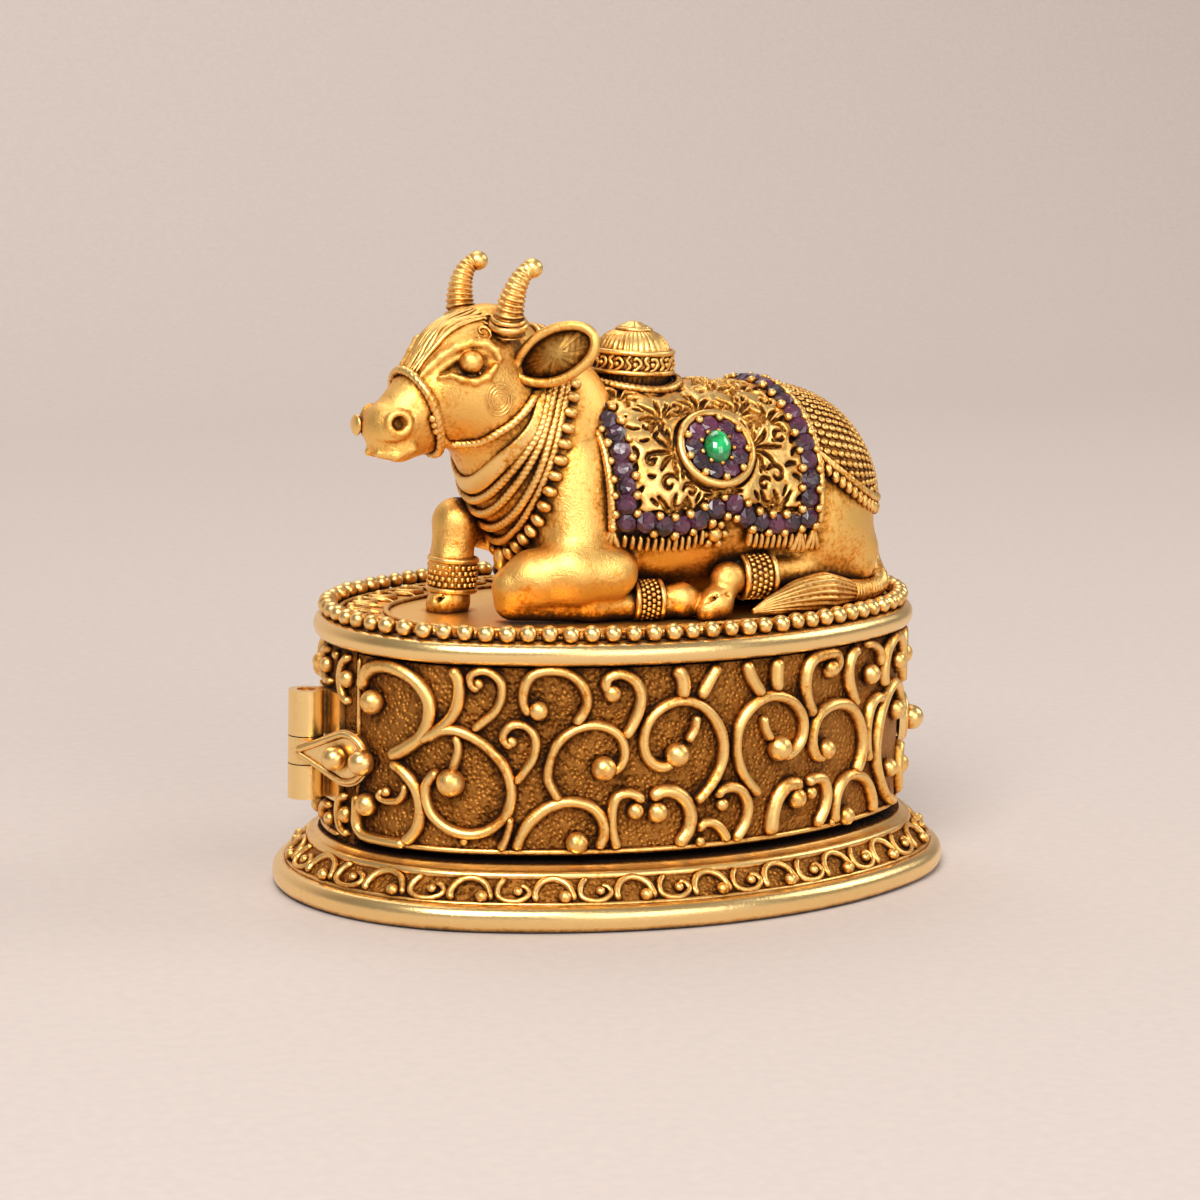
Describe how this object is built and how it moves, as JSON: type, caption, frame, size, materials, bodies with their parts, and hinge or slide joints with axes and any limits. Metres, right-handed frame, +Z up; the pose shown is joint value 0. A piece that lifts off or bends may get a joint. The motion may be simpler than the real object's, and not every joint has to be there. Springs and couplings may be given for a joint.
{
  "type": "sindoor box",
  "caption": "Oval footed metal box for sindoor powder with a swing-out tray behind its hinged front half and a reclining bull on its deck.",
  "frame": {"origin": "bottom centre of the oval foot, on the surface that it stands on", "axes": "+X along the oval's length, with the bull's head towards -X and the hinge at -X; -Y is the swinging front; +Z up"},
  "size_m": [0.062, 0.044, 0.0545],
  "materials": {
    "antique_gold": "antique gold plating with dark patina in the recesses",
    "polished_gold": "polished gold plating with fine brush marks",
    "satin_gold": "satin gold plating",
    "purple_stone": "faceted purple-grey stone",
    "green_stone": "polished green cabochon"
  },
  "bodies": {
    "stand": {"anklets": "antique_gold", "bell_rope": "antique_gold", "border_stones": "purple_stone", "bottom_plate": "polished_gold", "bridle_rope": "antique_gold", "bull_casting": "antique_gold", "catch_bead": "antique_gold", "deck_band": "polished_gold", "deck_beads": "polished_gold", "deck_plate": "antique_gold", "ear_far": "antique_gold", "ear_near": "antique_gold", "eye_balls": "antique_gold", "far_foreleg": "antique_gold", "far_foreshank": "antique_gold", "far_hindshank": "antique_gold", "far_thigh": "antique_gold", "foot_casting": "antique_gold", "foot_rim": "polished_gold", "hinge_knuckle_lower": "polished_gold", "hinge_knuckle_upper": "polished_gold", "hinge_pin": "polished_gold", "horn_far": "antique_gold", "horn_near": "antique_gold", "hump_pot": "antique_gold", "medallion_bezels": "antique_gold", "medallion_cabochons": "green_stone", "medallion_stones": "purple_stone", "near_foreleg": "antique_gold", "near_foreshank": "antique_gold", "near_hindshank": "antique_gold", "near_thigh": "antique_gold", "neck_band": "antique_gold", "neck_bells": "antique_gold", "neck_rope_lower": "antique_gold", "neck_rope_middle": "antique_gold", "neck_rope_upper": "antique_gold", "pot_ring": "antique_gold", "rear_wall": "antique_gold", "rump_cloth": "antique_gold", "rump_fringe": "antique_gold", "saddle_cloth": "antique_gold", "tail": "antique_gold", "tail_tuft": "antique_gold"},
    "tray": {"front_wall": "antique_gold", "powder_tray": "satin_gold", "hinge_leaf": "polished_gold", "leaf_balls": "antique_gold", "clasp_tongue": "polished_gold", "clasp_balls": "antique_gold"}
  },
  "joints": [
    {"name": "tray_swing", "type": "hinge", "parent": "stand", "child": "tray", "pos_m": [-0.0286, 0.0026, 0.0126], "axis": [0, 0, 1], "range_deg": [-150, 0]}
  ]
}
